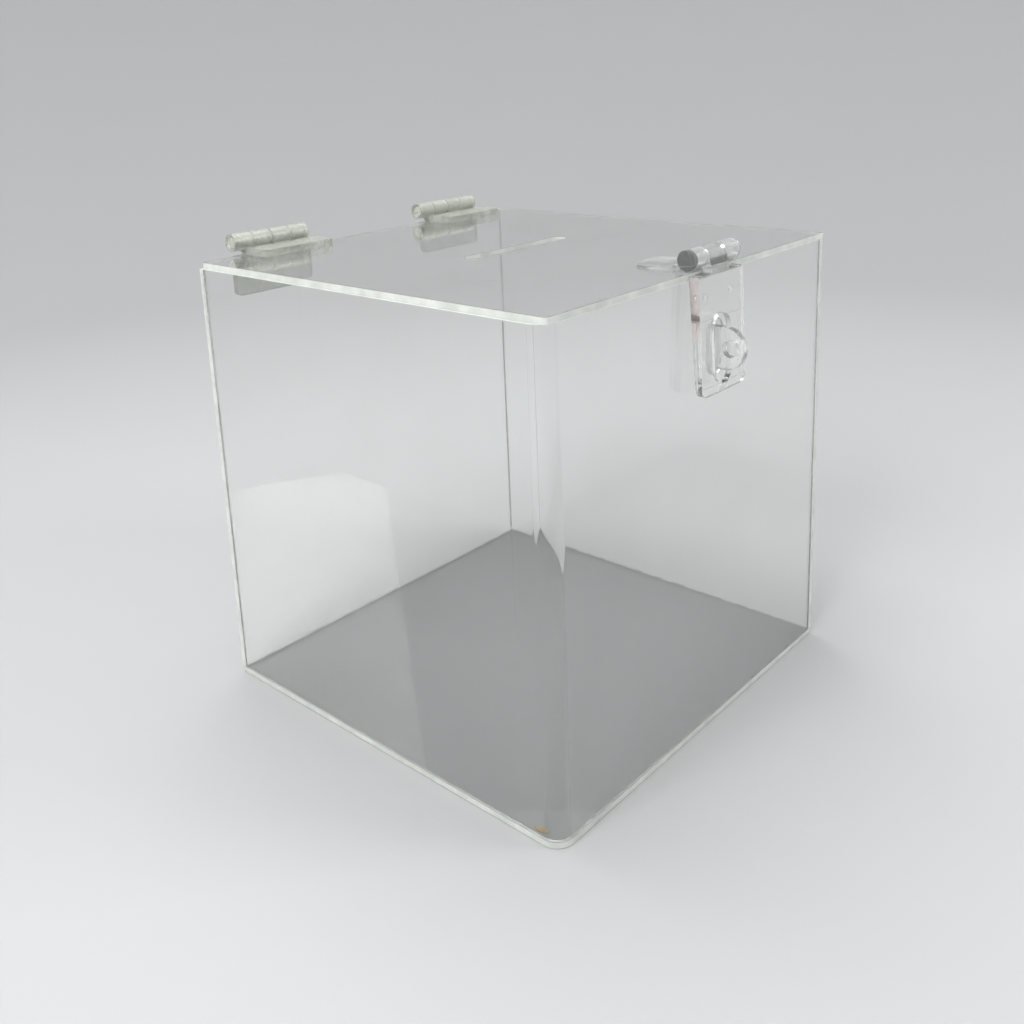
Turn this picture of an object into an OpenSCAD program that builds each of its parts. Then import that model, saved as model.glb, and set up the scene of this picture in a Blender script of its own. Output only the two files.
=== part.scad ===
// Clear acrylic ballot box with a hinged, slotted lid and a swing-over hasp.
// Millimetres, +Z up. The origin is the middle of the base's underside. X runs
// along the hasp wall, which faces -Y, and the hinged wall faces +Y.

/* [Box] */
// Outside width of the box, along the hasp wall
box_w = 300; // [240:5:400]
// Outside depth of the box, from the hasp wall to the hinged wall
box_d = 300; // [260:5:400]
// Height of the walls' top edge above the table
wall_top = 300; // [200:5:400]
// Thickness of the acrylic sheet
sheet_t = 4; // [3:0.5:5]
// Outside radius of the heat-bent corner
bend_r = 12; // [8:1:16]
// Radius that softens the other corners of the base and the lid
corner_r = 2.5; // [1.5:0.5:4]

/* [Lid] */
// Sideways overhang of the lid at the open corner
lid_overhang = 2; // [0:0.5:3]
// Gap between the lid's rear edge and the hinge leaves behind it
lid_rear_gap = 0.4; // [0.3:0.1:1]
// Length of the ballot slot
slot_l = 98; // [60:1:140]
// Width of the ballot slot
slot_w = 11; // [8:0.5:14]

/* [Moulded hinges] */
// Distance between the two hinges, centre to centre
hinge_pitch = 176; // [150:1:200]
// Sideways offset of the pair of hinges from the middle of the box
hinge_offset = -2.2; // [-4:0.2:4]
// Length of a hinge barrel
barrel_l = 62.4; // [56:0.4:68]
// Outside radius of a hinge barrel
barrel_r = 6.25; // [5.8:0.05:6.6]
// Radius of a hinge pin
hinge_pin_r = 3.75; // [3:0.05:4]
// Thickness of a hinge leaf
leaf_t = 5; // [4:0.5:5.5]
// Reach of the lid leaf in front of the hinge axis
lid_leaf_reach = 29.5; // [24:0.5:34]
// Drop of the wall leaf below the hinge axis
wall_leaf_drop = 36.8; // [30:0.2:44]
// Height of the hinge axis above the lid's top face
hinge_rise = 8.8; // [8.6:0.1:9.6]
// Distance of the hinge axis behind the hinged wall
hinge_back = 4; // [3.5:0.1:5]

/* [Hasp] */
// Sideways offset of the hasp from the middle of the box
hasp_x = 4; // [-30:1:30]
// Width of the hanging strap
strap_w = 50; // [44:1:56]
// Length of the strap below the hasp axis
strap_l = 81.4; // [80:0.2:86]
// Thickness of the strap's top edge
strap_top_t = 6.5; // [6:0.1:7]
// Thickness of the strap's skin behind its front face
skin_t = 3.8; // [3.2:0.1:4.2]
// Width of the slot that the staple stands in
strap_slot_w = 20; // [16:1:24]
// Radius of the hasp barrel
hasp_r = 6.2; // [6:0.05:6.4]
// Radius of the hasp pin
hasp_pin_r = 3; // [2.5:0.05:3.4]
// Width of the tab that is bonded to the lid
tab_w = 27; // [22:1:32]
// Depth of the tab that is bonded to the lid
tab_d = 26; // [22:1:32]

/* [Staple] */
// Radius of the staple's round nose
staple_r = 13; // [12.4:0.1:13]
// Thickness of the staple's plate
staple_t = 5; // [4:0.5:6]
// Radius of the padlock hole
padlock_r = 5; // [4:0.1:5.2]

/* [Hidden] */
$fn = 96;
eps = 0.01;
run = 0.05;                                  // radial clearance of a turning pin
joint_gap = 0.4;                             // gap between neighbouring knuckles
lid_top = wall_top + sheet_t;
lid_d = box_d - lid_rear_gap;
hinge_y = box_d / 2 + hinge_back;
hinge_z = lid_top + hinge_rise;
knuckle_l = (barrel_l - 3 * joint_gap) / 4;
knuckle_step = knuckle_l + joint_gap;
leaf_left = 1.1;                             // wall leaf starts just inside the barrel's end
lid_leaf_left = 8.5;                         // lid leaf starts half a knuckle in
lid_leaf_right = barrel_l + 4.6;             // and runs on past the barrel's far end
leaf_corner_r = 3.5;
leaf_back = hinge_back - leaf_t;             // outer face of the wall leaf, before the axis
mark_r = 2.4;                                // round ejector marks
mark_depth = 0.5;
hasp_y = -box_d / 2 + 1;
hasp_rise = 7.6;                             // hasp axis above the lid's top face
hasp_z = lid_top + hasp_rise;
hasp_left = -22.7;                           // knuckle ends, from the middle of the strap
head_l = 3;
knuckle_b = [-9.3, 9.3];                     // the strap's own knuckle
hasp_right = 25.2;
strap_top = 9.1;                             // strap's top edge below the axis
strap_back = 1.4;                            // strap's back in front of the axis, at the top
front_lean = 2.7 / 70.2;                     // outward lean of the front face
back_lean = 5 / 70.2;                        // outward lean of the back face
bar_h = 4.5;                                 // bar that closes the slot's lower end
slot_top = 34.1;                             // slot's upper end below the axis
pad_l = 27.5;                                // solid pad at the top of the strap
rim_w = 3.5;                                 // side rims that stand behind the skin
ramp_w = staple_t + 4;                       // ramp that lets the bar ride off the staple
strap_corner_r = 6;
staple_out = 10.6;                           // centre of the round nose, from the wall
staple_z = 256.3 - 300 + wall_top;
padlock_out = 14.2;
staple_base = [19, 36, 3];
tab_top = 3.4;
tab_edge = 1.2;
neck_w = 32;
neck_t = 2.4;

// Rectangle centred on the origin with its own radius at each corner, in the
// order near left, near right, far right, far left
module rounded_rect(w, d, radii) {
    corners = [[-1, -1], [1, -1], [1, 1], [-1, 1]];
    difference() {
        square([w, d], center = true);
        for (i = [0:3]) if (radii[i] > 0) {
            r = radii[i];
            translate([corners[i][0] * w / 2, corners[i][1] * d / 2])
                difference() {
                    square(2 * r, center = true);
                    translate([-corners[i][0] * r, -corners[i][1] * r]) circle(r);
                }
        }
    }
}

// Slot shape with round ends, standing along its second axis
module obround(w, l) {
    square([w, l - w], center = true);
    for (s = [-1, 1]) translate([0, s * (l - w) / 2]) circle(w / 2);
}

// Round nose of radius r with a straight shank as wide as the nose behind it
module round_nose(r, shank) {
    circle(r);
    translate([0, -r]) square([shank, 2 * r]);
}

// Profile given as [y, z] points, drawn out along X from x0 to x1
module along_x(x0, x1) {
    translate([x0, 0, 0]) rotate([90, 0, 90]) linear_extrude(x1 - x0) children();
}

// Front view given as [x, z], drawn out along Y from y0 to y1
module along_y(y0, y1) {
    translate([0, y1, 0]) rotate([90, 0, 0]) linear_extrude(y1 - y0) children();
}

// Round bar along X from x0 to x1
module bar_x(x0, x1, r) {
    translate([x0, 0, 0]) rotate([0, 90, 0]) cylinder(h = x1 - x0, r = r);
}

// Flared mouth of a bore: widest at x, narrowing in the direction of dir
module flare_x(x, dir, r, wide, deep) {
    translate([x, 0, 0]) rotate([0, dir * 90, 0]) cylinder(h = deep, r1 = wide, r2 = r);
}

// Base sheet that the walls stand on
module base_plate() {
    color("#e4e8e4", 0.35)
        linear_extrude(sheet_t)
            rounded_rect(box_w, box_d, [bend_r, corner_r, corner_r, corner_r]);
}

// One sheet bent round the near corner into the left wall and the hasp wall
module bent_wall() {
    w = box_w - sheet_t;
    d = box_d - sheet_t;
    color("#e4e8e4", 0.35)
        translate([-sheet_t / 2, -sheet_t / 2, sheet_t])
            linear_extrude(wall_top - sheet_t)
                difference() {
                    rounded_rect(w, d, [bend_r, 0, 0, 0]);
                    translate([sheet_t, sheet_t])
                        rounded_rect(w, d, [bend_r - sheet_t, 0, 0, 0]);
                }
}

// Wall that carries the hinges, covering the bent sheet's left end
module hinged_wall() {
    color("#e4e8e4", 0.35)
        translate([-box_w / 2, box_d / 2 - sheet_t, sheet_t])
            cube([box_w - sheet_t, sheet_t, wall_top - sheet_t]);
}

// Wall that closes the right side, covering the bent sheet's right end
module side_wall() {
    color("#e4e8e4", 0.35)
        translate([box_w / 2 - sheet_t, -box_d / 2, sheet_t])
            cube([sheet_t, box_d, wall_top - sheet_t]);
}

// Lid sheet with the ballot slot
module lid_panel() {
    color("#e4e8e4", 0.35)
        translate([lid_overhang, -lid_rear_gap / 2, wall_top])
            linear_extrude(sheet_t)
                difference() {
                    rounded_rect(box_w, lid_d, corner_r * [1, 1, 1, 1]);
                    rotate(90) obround(slot_w, slot_l);
                }
}

// Knuckle of a hinge barrel, i = 0 to 3 from the left, round the hinge axis
module hinge_knuckle(i) {
    bar_x(i * knuckle_step, i * knuckle_step + knuckle_l, barrel_r);
}

// Bore through the whole barrel, flared at both outer ends
module hinge_bore() {
    r = hinge_pin_r + run;
    bar_x(-1, barrel_l + 1, r);
    flare_x(-eps, 1, r, r + 1, 1.2);
    flare_x(barrel_l + eps, -1, r, r + 1, 1.2);
}

// Two ring-shaped marks that the mould leaves in a leaf, axis along Z
module mould_marks(middle) {
    for (s = [-1, 1]) translate([middle + s * 19.8, 0, 0])
        difference() {
            cylinder(h = 2 * mark_depth, r = mark_r, center = true);
            cylinder(h = 3 * mark_depth, r = mark_r - 0.8, center = true);
        }
}

// Leaf on the hinged wall, with the second and fourth knuckles
module wall_leaf() {
    top = hinge_rise + joint_gap;
    right = leaf_left + barrel_l;
    h = wall_leaf_drop - top;
    difference() {
        union() {
            translate([0, 0, -top - h / 2])
                along_y(-hinge_back, -leaf_back)
                    translate([(leaf_left + right) / 2, 0])
                        rounded_rect(right - leaf_left, h, [leaf_corner_r, leaf_corner_r, 0, 0]);
            for (i = [1, 3]) {
                hinge_knuckle(i);
                along_x(i * knuckle_step, i * knuckle_step + knuckle_l)
                    polygon([
                        [-hinge_back, -top - eps], [-leaf_back, -top - eps],
                        [-leaf_back, -top], [barrel_r - 0.3, -1.8], [0, 0], [-hinge_back, -1.8]
                    ]);
            }
        }
        hinge_bore();
        translate([0, -leaf_back, -wall_leaf_drop + 12]) rotate([90, 0, 0])
            mould_marks((leaf_left + right) / 2);
    }
}

// Leaf on the lid, with the first and third knuckles
module lid_leaf() {
    back = barrel_r + 0.55;
    mid = (lid_leaf_left + lid_leaf_right) / 2;
    web_from = [lid_leaf_left, 2 * knuckle_step];
    web_to = [knuckle_l, 2 * knuckle_step + knuckle_l];
    difference() {
        union() {
            translate([mid, -(lid_leaf_reach + back) / 2, -hinge_rise])
                linear_extrude(leaf_t)
                    rounded_rect(lid_leaf_right - lid_leaf_left, lid_leaf_reach - back,
                                 [leaf_corner_r, leaf_corner_r, 0, 0]);
            for (i = [0, 1]) {
                hinge_knuckle(2 * i);
                along_x(web_from[i], web_to[i])
                    polygon([
                        [-back - 1, -hinge_rise], [-1, -hinge_rise], [3, -barrel_r + 0.8],
                        [0, 0], [-back + 1.8, -hinge_rise + leaf_t],
                        [-back - 1, -hinge_rise + leaf_t]
                    ]);
            }
        }
        hinge_bore();
        translate([0, -lid_leaf_reach + 12, -hinge_rise + leaf_t]) mould_marks(mid);
    }
}

// Pin that both leaves turn on, a little short of the barrel's ends
module hinge_pin() {
    bar_x(0.9, barrel_l - 0.9, hinge_pin_r);
}

// Places a hinge part: side is -1 for the left hinge and 1 for the right one
module at_hinge(side) {
    translate([side * hinge_pitch / 2 + hinge_offset - barrel_l / 2, hinge_y, hinge_z])
        children();
}

module left_wall_leaf() { color("#d9ddd2", 0.55) at_hinge(-1) wall_leaf(); }

module right_wall_leaf() { color("#d9ddd2", 0.55) at_hinge(1) wall_leaf(); }

module left_lid_leaf() { color("#d9ddd2", 0.55) at_hinge(-1) lid_leaf(); }

module right_lid_leaf() { color("#d9ddd2", 0.55) at_hinge(1) lid_leaf(); }

module left_hinge_pin() { color("#e6e8d8", 0.6) at_hinge(-1) hinge_pin(); }

module right_hinge_pin() { color("#e6e8d8", 0.6) at_hinge(1) hinge_pin(); }

// Places a hasp part at the middle of the hasp's axis
module at_hasp() {
    translate([hasp_x, hasp_y, hasp_z]) children();
}

// Bore for the hasp pin, with a shallow step at the far end
module hasp_bore() {
    bar_x(hasp_left - 1, hasp_right + 1, hasp_pin_r + run);
    flare_x(hasp_right + eps, -1, hasp_pin_r + run, hasp_pin_r + 1.2, 1.2);
}

// Knuckle and foot on one side of the strap's knuckle, down to the lid's face
module hasp_foot(x0, x1) {
    bar_x(x0, x1, hasp_r);
    along_x(x0, x1)
        polygon([
            [-0.6, -hasp_rise], [9.2, -hasp_rise], [9.2, -hasp_rise + neck_t],
            [4.8, -3.6], [0, 0], [-3, -3.6]
        ]);
}

// Fixed half of the hasp: two knuckles, a neck and a bevelled tab on the lid
module hasp_lid_tab() {
    tab_y = 15 + tab_d / 2;
    color("#f2f6f4", 0.4) at_hasp()
        difference() {
            union() {
                hasp_foot(hasp_left, knuckle_b[0] - joint_gap);
                hasp_foot(knuckle_b[1] + joint_gap, hasp_right);
                translate([-neck_w / 2, 7.6, -hasp_rise]) cube([neck_w, 8, neck_t]);
                translate([-8, tab_y, -hasp_rise]) hull() {
                    linear_extrude(tab_edge)
                        rounded_rect(tab_w, tab_d, [8, 8, 8, 8], $fn = 32);
                    linear_extrude(tab_top)
                        rounded_rect(tab_w - 9, tab_d - 9, [5, 5, 5, 5], $fn = 32);
                }
            }
            hasp_bore();
        }
}

// Depth of the strap's front face in front of the axis, z below the axis
function front_y(z) = -strap_back - strap_top_t - (z - strap_top) * front_lean;

// Depth of the strap's back face in front of the axis, z below the axis
function back_y(z) = -strap_back - (z - strap_top) * back_lean;

// Side view of the strap: it thins and leans out towards its tip
module strap_side() {
    polygon([
        [back_y(strap_top), -strap_top], [front_y(strap_top), -strap_top],
        [front_y(strap_l), -strap_l], [back_y(strap_l), -strap_l]
    ]);
}

// Side view of the pocket behind the skin, from the pad to the slot's end
module strap_pocket() {
    z0 = strap_top + pad_l;
    z1 = strap_l - bar_h;
    polygon([
        [front_y(z0) + skin_t, -z0], [front_y(z1) + skin_t, -z1],
        [10, -z1], [10, -z0]
    ]);
}

// Side view of the ramp at the slot's lower end
module strap_ramp() {
    z1 = strap_l - bar_h;
    polygon([
        [front_y(z1) - 1, -z1], [front_y(z1) + 0.5, -z1], [back_y(strap_l) + 0.1, -strap_l],
        [10, -strap_l], [10, 12 - z1], [front_y(z1) - 1, 12 - z1]
    ]);
}

// Hanging strap: leaning plate, slot for the staple and one knuckle
module hasp_strap() {
    slot_h = strap_l - bar_h - slot_top;
    color("#f2f6f4", 0.4) at_hasp()
        difference() {
            union() {
                intersection() {
                    along_x(-strap_w / 2, strap_w / 2) strap_side();
                    translate([0, 0, -(strap_l + strap_top) / 2]) along_y(-20, 0)
                        rounded_rect(strap_w, strap_l - strap_top,
                                     [strap_corner_r, strap_corner_r, 1.5, 1.5]);
                }
                bar_x(knuckle_b[0], knuckle_b[1], hasp_r);
                along_x(knuckle_b[0], knuckle_b[1])
                    polygon([
                        [-strap_back, -strap_top - 1], [front_y(strap_top + 1), -strap_top - 1],
                        [front_y(strap_top), -strap_top], [-hasp_r + 0.2, -1.5],
                        [0, 0], [-strap_back, -3]
                    ]);
            }
            hasp_bore();
            along_x(-strap_w / 2 + rim_w, strap_w / 2 - rim_w) strap_pocket();
            translate([0, 0, -slot_top - slot_h / 2]) along_y(-20, 10)
                obround(strap_slot_w, slot_h);
            along_x(-ramp_w / 2, ramp_w / 2) strap_ramp();
            for (s = [-1, 1]) translate([s * 14.3, back_y(23), -23.3]) rotate([90, 0, 0])
                cylinder(h = 2 * mark_depth, r = mark_r, center = true);
        }
}

// Headed pin that the strap swings on
module hasp_pin() {
    head = hasp_left - joint_gap / 4;
    color("#f2f6f4", 0.4) at_hasp() {
        bar_x(head - eps, hasp_right - 0.8, hasp_pin_r);
        bar_x(head - head_l + 0.6, head, hasp_r);
        flare_x(head - head_l, 1, hasp_r, hasp_r - 0.6, 0.6 + eps);
    }
}

// Staple bonded to the hasp wall: round-nosed plate on an obround foot
module staple() {
    color("#f2f6f4", 0.4) translate([hasp_x, -box_d / 2, staple_z])
        difference() {
            union() {
                along_y(-staple_base[2], 0) obround(staple_base[0], staple_base[1]);
                along_x(-staple_t / 2, staple_t / 2) difference() {
                    translate([-staple_out, 0]) round_nose(staple_r, staple_out);
                    translate([0, -2 * staple_r]) square(4 * staple_r);
                }
            }
            translate([0, -padlock_out, 0]) bar_x(-staple_t, staple_t, padlock_r);
        }
}

base_plate();
bent_wall();
hinged_wall();
side_wall();
lid_panel();
left_wall_leaf();
right_wall_leaf();
left_lid_leaf();
right_lid_leaf();
left_hinge_pin();
right_hinge_pin();
hasp_lid_tab();
hasp_strap();
hasp_pin();
staple();
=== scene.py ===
"""Looks of a clear acrylic ballot box: sawn sheets, moulded hinges and a swing-over hasp."""

import logging
import math
import random
from dataclasses import dataclass
from enum import Enum, IntEnum
from typing import Sequence

import bmesh
import bpy
from mathutils import Matrix, Vector


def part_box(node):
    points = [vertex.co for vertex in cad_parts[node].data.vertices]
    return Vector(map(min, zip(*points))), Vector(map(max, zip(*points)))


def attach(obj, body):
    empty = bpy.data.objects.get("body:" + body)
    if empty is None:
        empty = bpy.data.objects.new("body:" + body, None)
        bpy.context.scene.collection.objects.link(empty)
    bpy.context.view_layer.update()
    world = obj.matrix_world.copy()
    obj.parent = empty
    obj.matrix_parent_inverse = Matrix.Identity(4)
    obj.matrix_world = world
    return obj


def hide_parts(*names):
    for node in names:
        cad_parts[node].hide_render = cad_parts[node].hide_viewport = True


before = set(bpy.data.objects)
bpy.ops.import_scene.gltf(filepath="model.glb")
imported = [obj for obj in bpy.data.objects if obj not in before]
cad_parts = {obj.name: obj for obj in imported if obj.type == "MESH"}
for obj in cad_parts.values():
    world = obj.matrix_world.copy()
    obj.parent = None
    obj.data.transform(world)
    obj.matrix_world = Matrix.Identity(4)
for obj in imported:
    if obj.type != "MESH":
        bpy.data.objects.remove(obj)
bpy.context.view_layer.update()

log = logging.getLogger("ballot_box")

Colour = tuple[float, float, float]
Point = tuple[float, float]
Range = tuple[float, float]

MM = 0.001
GLASS_BOUNCES = 28
ACRYLIC_IOR = 1.49
LOOSE_MATTER = ("seam_bubbles", "lid_dust", "base_dust", "cement_run", "paper_chip")

SMOOTH_BELOW = 35.0
SMOOTH_ALL = 180.0
SHARP_ABOVE = 28.0
SOFTENING_STEPS = 2
EVEN_WEIGHT = 100
FACING = 0.5
MERGE_DISTANCE = 0.002 * MM
FLAT_WITHIN = 0.5
CORNER_STEPS = 12
SLOT_END_STEPS = 16


class Body(Enum):
    """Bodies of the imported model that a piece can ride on."""

    BOX = "box"
    LID = "lid"
    STRAP = "strap"


class Slot(Enum):
    """Material slots of the record."""

    SHEET = "clear_sheet"
    HINGE = "hinge_moulding"
    HINGE_PIN = "hinge_pin"
    HASP = "hasp_moulding"
    HASP_PIN = "hasp_pin"


class Axis(Enum):
    """Axis that a flat wall's thickness lies along."""

    X = 0
    Y = 1


class Side(IntEnum):
    """Side of a sheet, which is also the number of the material on it."""

    FACE = 0
    EDGE = 1
    JOINT = 2


class MixSocket(IntEnum):
    """Numbers of the colour mix node's sockets, whose labels repeat."""

    FACTOR = 0
    FIRST = 6
    SECOND = 7
    RESULT = 2


class RandomInput(IntEnum):
    """Numbers of the random value node's inputs, whose labels repeat."""

    LOW_VECTOR = 0
    HIGH_VECTOR = 1
    LOW_FLOAT = 2
    HIGH_FLOAT = 3
    SHARE = 6
    SEED = 8


class RandomOutput(IntEnum):
    """Numbers of the random value node's outputs, whose labels repeat."""

    VECTOR = 0
    FLOAT = 1
    CHOICE = 3


class Graph:
    """Adds nodes to a shader or geometry tree and wires them up."""

    def __init__(self, tree: bpy.types.NodeTree) -> None:
        """Keeps the tree that the nodes go into."""
        self.tree = tree

    def add(self, kind: str, inputs: dict | None = None, **settings: object) -> bpy.types.Node:
        """Adds one node, sets it up and feeds its inputs.

        Args:
            kind: Blender's name for the node type.
            inputs: value or source socket for each input, by name or number.
            settings: properties of the node itself.

        Returns:
            The new node.
        """
        node = self.tree.nodes.new(kind)
        for name, value in settings.items():
            setattr(node, name, value)
        for key, value in (inputs or {}).items():
            if isinstance(value, bpy.types.NodeSocket):
                self.tree.links.new(value, node.inputs[key])
            else:
                node.inputs[key].default_value = value
        return node

    def link(self, source: bpy.types.NodeSocket, target: bpy.types.NodeSocket) -> None:
        """Wires one socket to another."""
        self.tree.links.new(source, target)

    def math(self, operation: str, first: object, second: object = 0.0) -> bpy.types.NodeSocket:
        """Adds a math node.

        Args:
            operation: Blender's name for the sum.
            first: first value or socket.
            second: second value or socket.

        Returns:
            The result's socket.
        """
        node = self.add("ShaderNodeMath", {0: first, 1: second}, operation=operation)
        return node.outputs[0]

    def spread(self, value: object, between: Range, to: Range = (0.0, 1.0)
               ) -> bpy.types.NodeSocket:
        """Maps a range of values to another one, clamped.

        Args:
            value: the socket that is mapped.
            between: start and end of its range.
            to: result at the start and at the end.

        Returns:
            The result's socket.
        """
        node = self.add("ShaderNodeMapRange", {
            "Value": value, "From Min": between[0], "From Max": between[1],
            "To Min": to[0], "To Max": to[1]}, clamp=True)
        return node.outputs[0]

    def blend(self, factor: object, first: object, second: object) -> bpy.types.NodeSocket:
        """Mixes two colours.

        Args:
            factor: share of the second colour.
            first: colour or socket at 0.
            second: colour or socket at 1.

        Returns:
            The mixed colour's socket.
        """
        node = self.add("ShaderNodeMix", {
            MixSocket.FACTOR: factor, MixSocket.FIRST: first, MixSocket.SECOND: second},
            data_type="RGBA")
        return node.outputs[MixSocket.RESULT]


def rgba(colour: Colour) -> tuple[float, float, float, float]:
    """Colour with full alpha."""
    return (*colour, 1.0)


def shader_group(name: str, inputs: Sequence[tuple[str, str, object]],
                 outputs: Sequence[str]) -> tuple[Graph, bpy.types.Node, bpy.types.Node]:
    """Starts a shader node group.

    Args:
        name: the group's name.
        inputs: label, socket type and default of each input.
        outputs: label of each output, all of them floats.

    Returns:
        The graph, its input node and its output node.
    """
    group = bpy.data.node_groups.new(name, "ShaderNodeTree")
    for label, kind, default in inputs:
        socket = group.interface.new_socket(name=label, in_out="INPUT", socket_type=kind)
        if default is not None:
            socket.default_value = default
    for label in outputs:
        group.interface.new_socket(name=label, in_out="OUTPUT", socket_type="NodeSocketFloat")
    graph = Graph(group)
    return graph, graph.add("NodeGroupInput"), graph.add("NodeGroupOutput")


class Effects:
    """Surface effects that several materials share, each one a node group made once."""

    scratch_turns = ((0.0, 0.0, 0.35), (0.0, 0.0, 2.1), (0.0, 1.1, 0.0), (1.3, 0.0, 1.5708))
    scratch_step = 0.13
    scratch_offset = (0.07, 0.03)
    scratch_stretch = (55.0, 1.0, 1.0)
    scratch_fade = (0.0, 0.035)
    scratched_patches = (0.42, 0.62)
    wipe_turn = (0.3, 0.2, 0.6)
    wipe_stretch = (9.0, 1.0, 1.0)
    haze_height = (0.13, 0.0)
    film_patches = (0.45, 0.8)
    wipe_streaks = (0.3, 0.75)
    wipe_shares = (0.5, 1.0)
    chatter_share = 0.6
    chatter_tones = (0.35, 0.68)
    ridge_tones = (0.2, 0.7)
    ridge_shares = (0.6, 1.0)
    peel_share = 0.35
    cloud_tones = (0.35, 0.7)

    def __init__(self) -> None:
        """Builds the groups."""
        self.hairlines = self._hairlines()
        self.film = self._film()
        self.saw_marks = self._saw_marks()
        self.flow = self._flow()

    def _hairlines(self) -> bpy.types.NodeTree:
        """Builds the group for fine straight scratches.

        Returns:
            The group, with a Mask that is 1 in a scratch.
        """
        graph, given, out = shader_group(
            "fine_hairlines",
            [("Vector", "NodeSocketVector", None), ("Scale", "NodeSocketFloat", 700.0),
             ("Rarity", "NodeSocketFloat", 0.68)], ["Mask"])
        mask = None
        for number, turn in enumerate(self.scratch_turns):
            turned = graph.add("ShaderNodeMapping", {
                "Vector": given.outputs["Vector"],
                "Location": (self.scratch_step * number, *self.scratch_offset),
                "Rotation": turn, "Scale": self.scratch_stretch}, vector_type="TEXTURE")
            noise = graph.add("ShaderNodeTexNoise", {
                "Vector": turned.outputs[0], "Scale": given.outputs["Scale"], "Detail": 1.0})
            over = graph.math("SUBTRACT", noise.outputs[0], given.outputs["Rarity"])
            line = graph.spread(over, self.scratch_fade)
            mask = line if mask is None else graph.math("MAXIMUM", mask, line)
        patches = graph.add("ShaderNodeTexNoise", {
            "Vector": given.outputs["Vector"], "Scale": 9.0, "Detail": 2.0})
        shown = graph.spread(patches.outputs[0], self.scratched_patches)
        graph.link(graph.math("MULTIPLY", mask, shown), out.inputs["Mask"])
        return graph.tree

    def _film(self) -> bpy.types.NodeTree:
        """Builds the group for a wiped, patchy film of dust and finger grease.

        Returns:
            The group, with a Mask from clean to hazy.
        """
        graph, given, out = shader_group(
            "wiped_film",
            [("Vector", "NodeSocketVector", None), ("Scale", "NodeSocketFloat", 12.0),
             ("Low Edge", "NodeSocketFloat", 0.0)], ["Mask"])
        patches = graph.add("ShaderNodeTexNoise", {
            "Vector": given.outputs["Vector"], "Scale": given.outputs["Scale"],
            "Detail": 4.0, "Roughness": 0.55, "Distortion": 0.6})
        wiped = graph.add("ShaderNodeMapping", {
            "Vector": given.outputs["Vector"], "Rotation": self.wipe_turn,
            "Scale": self.wipe_stretch}, vector_type="TEXTURE")
        streaks = graph.add("ShaderNodeTexNoise", {
            "Vector": wiped.outputs[0], "Scale": 160.0, "Detail": 2.0})
        place = graph.add("ShaderNodeSeparateXYZ", {0: given.outputs["Vector"]})
        low = graph.math("MULTIPLY", graph.spread(place.outputs["Z"], self.haze_height),
                         given.outputs["Low Edge"])
        haze = graph.math("ADD", graph.spread(patches.outputs[0], self.film_patches), low)
        mask = graph.math("MULTIPLY", haze, graph.spread(
            streaks.outputs[0], self.wipe_streaks, self.wipe_shares))
        graph.link(graph.math("MINIMUM", mask, 1.0), out.inputs["Mask"])
        return graph.tree

    def _saw_marks(self) -> bpy.types.NodeTree:
        """Builds the group for the marks that a saw leaves across a sheet's edge.

        Returns:
            The group, with a Height and a Tone.
        """
        graph, given, out = shader_group(
            "saw_marks",
            [("Vector", "NodeSocketVector", None), ("Pitch", "NodeSocketFloat", 1400.0)],
            ["Height", "Tone"])
        ridges = graph.add("ShaderNodeTexNoise", {
            "Vector": given.outputs["Vector"], "Scale": given.outputs["Pitch"], "Detail": 2.0,
            "Roughness": 0.6})
        chatter = graph.add("ShaderNodeTexNoise", {
            "Vector": given.outputs["Vector"], "Scale": 90.0, "Detail": 3.0})
        height = graph.math("ADD", ridges.outputs[0],
                            graph.math("MULTIPLY", chatter.outputs[0], self.chatter_share))
        tone = graph.math("MULTIPLY", graph.spread(chatter.outputs[0], self.chatter_tones),
                          graph.spread(ridges.outputs[0], self.ridge_tones, self.ridge_shares))
        graph.link(height, out.inputs["Height"])
        graph.link(tone, out.inputs["Tone"])
        return graph.tree

    def _flow(self) -> bpy.types.NodeTree:
        """Builds the group for the soft flow lines of an injection moulding.

        Returns:
            The group, with a Height and a Tone.
        """
        graph, given, out = shader_group(
            "moulding_flow",
            [("Vector", "NodeSocketVector", None), ("Scale", "NodeSocketFloat", 60.0)],
            ["Height", "Tone"])
        clouds = graph.add("ShaderNodeTexNoise", {
            "Vector": given.outputs["Vector"], "Scale": given.outputs["Scale"], "Detail": 3.0,
            "Distortion": 1.4})
        orange_peel = graph.add("ShaderNodeTexNoise", {
            "Vector": given.outputs["Vector"], "Scale": 420.0, "Detail": 1.0})
        height = graph.math("ADD", clouds.outputs[0],
                            graph.math("MULTIPLY", orange_peel.outputs[0], self.peel_share))
        graph.link(height, out.inputs["Height"])
        graph.link(graph.spread(clouds.outputs[0], self.cloud_tones), out.inputs["Tone"])
        return graph.tree


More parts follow.
